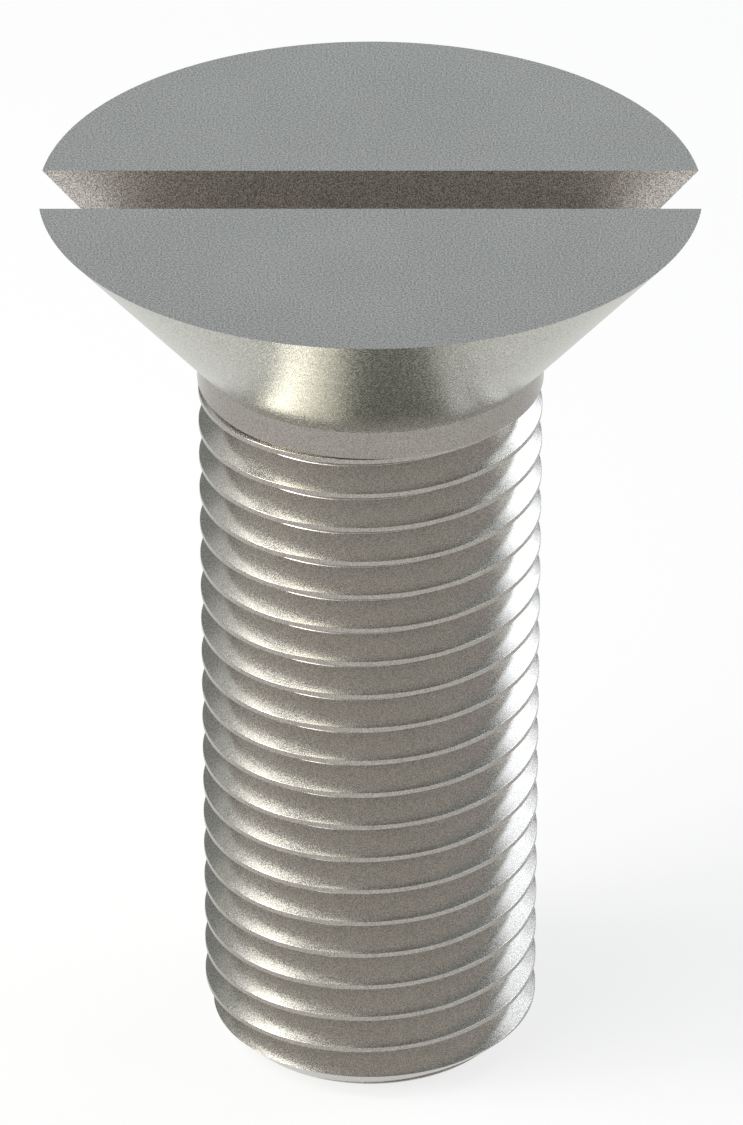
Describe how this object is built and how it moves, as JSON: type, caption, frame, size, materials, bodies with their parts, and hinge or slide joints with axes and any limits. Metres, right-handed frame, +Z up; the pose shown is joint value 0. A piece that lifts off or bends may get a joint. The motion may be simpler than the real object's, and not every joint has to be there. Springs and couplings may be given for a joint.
{
  "type": "slotted countersunk machine screw",
  "caption": "Stainless countersunk machine screw with a flat slotted head, a short plain neck and a fine right-hand thread, standing on its chamfered tip.",
  "frame": {"origin": "centre of the flat tip, on the surface that the screw stands on", "axes": "+Z up the screw's axis, from the tip to the flat head; +X along the driver slot"},
  "size_m": [0.0178, 0.018, 0.0266],
  "materials": {
    "stainless": "plain stainless steel with a fine matt grain"
  },
  "bodies": {
    "root": {"screw": "stainless"}
  },
  "joints": []
}
